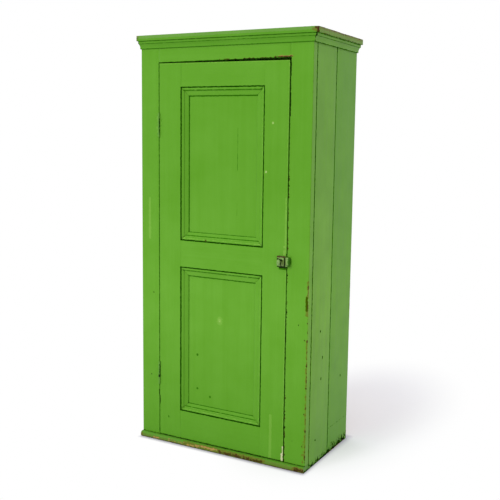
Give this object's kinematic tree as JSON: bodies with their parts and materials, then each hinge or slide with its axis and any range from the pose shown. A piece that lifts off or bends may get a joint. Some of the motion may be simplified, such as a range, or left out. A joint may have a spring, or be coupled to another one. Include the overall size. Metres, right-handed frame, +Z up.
{
  "type": "linen cupboard",
  "caption": "Tall painted pine linen cupboard with a face frame, a flush panelled door on butt hinges, a surface latch with a thumb knob, shelves, a cornice and a nosed sill.",
  "frame": {"origin": "on the floor, at the middle of the carcass footprint (underside of the bottom board)", "axes": "+X to the right of someone facing the door, +Y to the wall behind, +Z up"},
  "size_m": [0.868, 0.4823, 1.8],
  "materials": {
    "painted_pine": "gloss green oil paint, worn at edges",
    "bare_pine": "unpainted aged pine, matt",
    "painted_iron": "cast iron under green paint, worn to brown at edges",
    "worn_iron": "dark handled iron, satin"
  },
  "bodies": {
    "carcass": {"sill_board": "painted_pine", "bottom_board": "bare_pine", "top_board": "bare_pine", "door_stop_strip": "bare_pine", "side_left_front_board": "painted_pine", "side_left_rear_board": "painted_pine", "side_right_front_board": "painted_pine", "side_right_rear_board": "painted_pine", "back_board_1": "bare_pine", "back_board_2": "bare_pine", "back_board_3": "bare_pine", "back_board_4": "bare_pine", "frame_stile_left": "painted_pine", "frame_stile_right": "painted_pine", "frame_top_rail": "painted_pine", "cornice_front": "painted_pine", "cornice_left": "painted_pine", "cornice_right": "painted_pine", "shelf_1": "bare_pine", "shelf_1_batten_left": "bare_pine", "shelf_1_batten_right": "bare_pine", "shelf_2": "bare_pine", "shelf_2_batten_left": "bare_pine", "shelf_2_batten_right": "bare_pine", "shelf_3": "bare_pine", "shelf_3_batten_left": "bare_pine", "shelf_3_batten_right": "bare_pine", "shelf_4": "bare_pine", "shelf_4_batten_left": "bare_pine", "shelf_4_batten_right": "bare_pine", "hinge_upper_frame_leaf": "worn_iron", "hinge_upper_pin": "worn_iron", "hinge_lower_frame_leaf": "worn_iron", "hinge_lower_pin": "worn_iron", "latch_keeper": "painted_iron"},
    "door": {"door_stile_hinge_side": "painted_pine", "door_stile_latch_side": "painted_pine", "door_rail_bottom": "painted_pine", "door_rail_lock": "painted_pine", "door_rail_top": "painted_pine", "door_panel_lower": "painted_pine", "door_panel_upper": "painted_pine", "lower_moulding_left": "painted_pine", "lower_moulding_right": "painted_pine", "lower_moulding_bottom": "painted_pine", "lower_moulding_top": "painted_pine", "upper_moulding_left": "painted_pine", "upper_moulding_right": "painted_pine", "upper_moulding_bottom": "painted_pine", "upper_moulding_top": "painted_pine", "hinge_upper_door_leaf": "worn_iron", "hinge_lower_door_leaf": "worn_iron", "latch_case": "painted_iron"},
    "bolt": {"latch_bolt": "worn_iron"},
    "knob": {"latch_knob": "worn_iron"}
  },
  "joints": [
    {"name": "door_hinge", "type": "hinge", "parent": "carcass", "child": "door", "pos_m": [-0.31975, -0.223, 0.867], "axis": [0, 0, -1], "range_deg": [0, 170]},
    {"name": "latch_knob_turn", "type": "hinge", "parent": "door", "child": "knob", "pos_m": [0.2925, -0.2348, 0.876], "axis": [0, 1, 0], "range_deg": [0, 90]},
    {"name": "latch_bolt_slide", "type": "slide", "parent": "door", "child": "bolt", "axis": [1, 0, 0], "range_m": [0, 0.01]}
  ],
  "couplings": [
    {"joint": "latch_bolt_slide", "follows": "latch_knob_turn", "m_per_rad": 0.006366}
  ]
}
